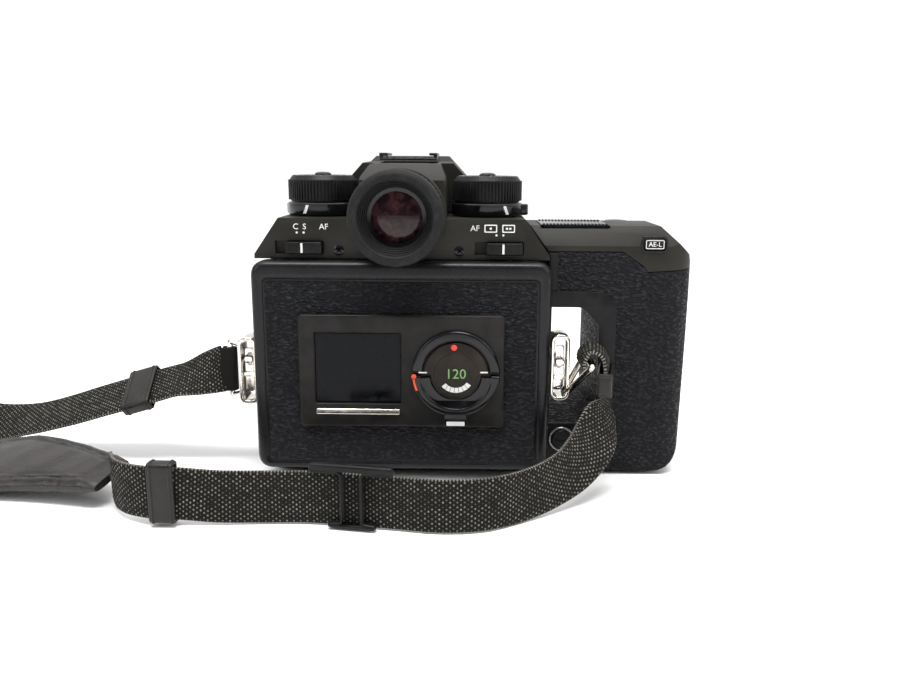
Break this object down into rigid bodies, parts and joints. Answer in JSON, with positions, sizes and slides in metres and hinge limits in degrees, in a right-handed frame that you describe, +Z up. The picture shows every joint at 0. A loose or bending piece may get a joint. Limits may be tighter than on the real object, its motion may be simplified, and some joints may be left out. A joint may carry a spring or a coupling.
{
  "type": "medium format reflex camera",
  "caption": "Medium-format reflex camera with a removable film back, a fixed hand grip, twin top dials, an eyecup and a webbing neck strap laid on the table.",
  "frame": {"origin": "underside of the base plate, straight below the point where the optical axis meets the film plane", "axes": "+Z up, +Y along the optical axis towards the lens, +X towards the hand grip"},
  "size_m": [0.4145, 0.182, 0.1111],
  "materials": {
    "paint": "matt grey-black paint",
    "black_plastic": "black satin plastic",
    "black_metal": "black satin enamel",
    "leather": "wrinkled black leatherette",
    "smooth_leather": "smooth black leather",
    "rubber": "matt black rubber",
    "nickel": "polished nickel",
    "steel": "satin steel",
    "glass": "clear coated glass",
    "mirror": "front-silvered mirror",
    "display": "dark glossy window",
    "disc_brown": "dark brown-grey plastic",
    "webbing": "black nylon webbing with grey flecks"
  },
  "bodies": {
    "camera": {"body_shell": "black_metal", "film_chamber": "black_metal", "base_plate": "black_metal", "tripod_socket": "steel", "shutter_frame": "black_metal", "shutter_curtain": "black_plastic", "focusing_screen": "glass", "pentaprism": "glass", "lens_mount_ring": "steel", "top_cover": "paint", "prism_cover": "paint", "hot_shoe": "black_metal", "eyepiece_tube": "black_plastic", "eyepiece_lens": "glass", "eyecup": "rubber", "grip_shell": "leather", "grip_top_cover": "paint", "lcd_window": "display", "battery_holder": "black_plastic", "strap_lug_left": "steel", "strap_lug_right": "steel", "strap_clip_left": "nickel", "strap_clip_right": "nickel", "webbing_left": "webbing", "webbing_right": "webbing", "shoulder_pad": "smooth_leather", "tri_glide": "black_plastic", "keeper_right": "smooth_leather", "keeper_left": "smooth_leather", "keeper_lower": "smooth_leather"},
    "film_back": {"film_back_cover": "black_metal", "film_back_leather": "leather", "memo_plate": "black_plastic", "memo_chrome_strip": "nickel", "insert_frame": "black_metal", "pressure_plate": "steel"},
    "latch": {"latch_disc": "disc_brown"},
    "bail": {"latch_bail": "black_plastic"},
    "lower_spool": {"feed_spool": "black_plastic"},
    "upper_spool": {"takeup_spool": "black_plastic"},
    "mirror": {"reflex_mirror": "mirror"},
    "lens": {"lens_barrel": "black_metal", "lens_front_glass": "glass", "lens_rear_glass": "glass"},
    "aperture": {"aperture_ring": "black_metal"},
    "focus": {"focus_ring": "rubber"},
    "lens_release": {"lens_release_button": "black_metal"},
    "left_dial": {"exposure_dial": "black_plastic"},
    "left_lever": {"drive_lever": "black_plastic"},
    "left_button": {"exposure_lock_button": "steel"},
    "right_dial": {"shutter_speed_dial": "black_plastic"},
    "right_lever": {"metering_lever": "black_plastic"},
    "right_button": {"speed_lock_button": "steel"},
    "af_mode": {"af_mode_switch": "black_plastic"},
    "af_area": {"af_area_switch": "black_plastic"},
    "rear_button": {"ael_button": "black_plastic"},
    "shutter": {"shutter_button": "black_plastic"},
    "main_switch": {"main_switch_ring": "black_plastic"},
    "battery_lock": {"battery_lock_knob": "black_metal"},
    "diopter": {"diopter_ring": "rubber"}
  },
  "joints": [
    {"name": "film_back_slide", "type": "slide", "parent": "camera", "child": "film_back", "axis": [0, -1, 0], "range_m": [0, 0.018]},
    {"name": "latch_turn", "type": "hinge", "parent": "film_back", "child": "latch", "pos_m": [0.0184, -0.0305, 0.0385], "axis": [0, -1, 0], "range_deg": [0, 90]},
    {"name": "bail_fold", "type": "hinge", "parent": "latch", "child": "bail", "pos_m": [0.0184, -0.03145, 0.0385], "axis": [-1, 0, 0], "range_deg": [0, 90]},
    {"name": "feed_spool_spin", "type": "hinge", "parent": "film_back", "child": "lower_spool", "pos_m": [0, -0.0135, 0.019], "axis": [1, 0, 0], "continuous": true},
    {"name": "takeup_spool_spin", "type": "hinge", "parent": "film_back", "child": "upper_spool", "pos_m": [0, -0.0135, 0.059], "axis": [1, 0, 0], "continuous": true},
    {"name": "mirror_swing", "type": "hinge", "parent": "camera", "child": "mirror", "pos_m": [0, 0.012, 0.062], "axis": [1, 0, 0], "range_deg": [0, 44]},
    {"name": "lens_twist", "type": "hinge", "parent": "camera", "child": "lens", "pos_m": [0, 0.075, 0.039], "axis": [0, 1, 0], "range_deg": [0, 60]},
    {"name": "aperture_turn", "type": "hinge", "parent": "lens", "child": "aperture", "pos_m": [0, 0.078, 0.039], "axis": [0, 1, 0], "range_deg": [-60, 60]},
    {"name": "focus_turn", "type": "hinge", "parent": "lens", "child": "focus", "pos_m": [0, 0.09, 0.039], "axis": [0, 1, 0], "range_deg": [0, 150]},
    {"name": "lens_release_press", "type": "slide", "parent": "camera", "child": "lens_release", "axis": [0, -1, 0], "range_m": [0, 0.001], "stiffness_N_per_m": 300},
    {"name": "exposure_dial_turn", "type": "hinge", "parent": "camera", "child": "left_dial", "pos_m": [-0.0286, -0.006, 0.095], "axis": [0, 0, 1], "continuous": true},
    {"name": "drive_lever_turn", "type": "hinge", "parent": "camera", "child": "left_lever", "pos_m": [-0.0286, -0.006, 0.092], "axis": [0, 0, 1], "range_deg": [-30, 30]},
    {"name": "exposure_lock_press", "type": "slide", "parent": "left_dial", "child": "left_button", "axis": [0, 0, -1], "range_m": [0, 0.001], "stiffness_N_per_m": 300},
    {"name": "shutter_speed_dial_turn", "type": "hinge", "parent": "camera", "child": "right_dial", "pos_m": [0.0286, -0.006, 0.095], "axis": [0, 0, 1], "continuous": true},
    {"name": "metering_lever_turn", "type": "hinge", "parent": "camera", "child": "right_lever", "pos_m": [0.0286, -0.006, 0.092], "axis": [0, 0, 1], "range_deg": [-30, 30]},
    {"name": "speed_lock_press", "type": "slide", "parent": "right_dial", "child": "right_button", "axis": [0, 0, -1], "range_m": [0, 0.001], "stiffness_N_per_m": 300},
    {"name": "af_mode_slide", "type": "slide", "parent": "camera", "child": "af_mode", "axis": [-1, 0, 0], "range_m": [0, 0.0034]},
    {"name": "af_area_slide", "type": "slide", "parent": "camera", "child": "af_area", "axis": [-1, 0, 0], "range_m": [0, 0.0034]},
    {"name": "ael_press", "type": "slide", "parent": "camera", "child": "rear_button", "axis": [0, 1, 0], "range_m": [0, 0.0009], "stiffness_N_per_m": 300},
    {"name": "shutter_press", "type": "slide", "parent": "camera", "child": "shutter", "axis": [0, 0, -1], "range_m": [0, 0.0012], "stiffness_N_per_m": 300},
    {"name": "main_switch_turn", "type": "hinge", "parent": "camera", "child": "main_switch", "pos_m": [0.079, 0.026, 0.0837], "axis": [0, 0, 1], "range_deg": [-45, 45]},
    {"name": "battery_lock_turn", "type": "hinge", "parent": "camera", "child": "battery_lock", "pos_m": [0.0555, -0.021, 0.0127], "axis": [0, -1, 0], "range_deg": [0, 90]},
    {"name": "diopter_turn", "type": "hinge", "parent": "camera", "child": "diopter", "pos_m": [0, -0.032, 0.091], "axis": [0, 1, 0], "range_deg": [-80, 80]}
  ]
}
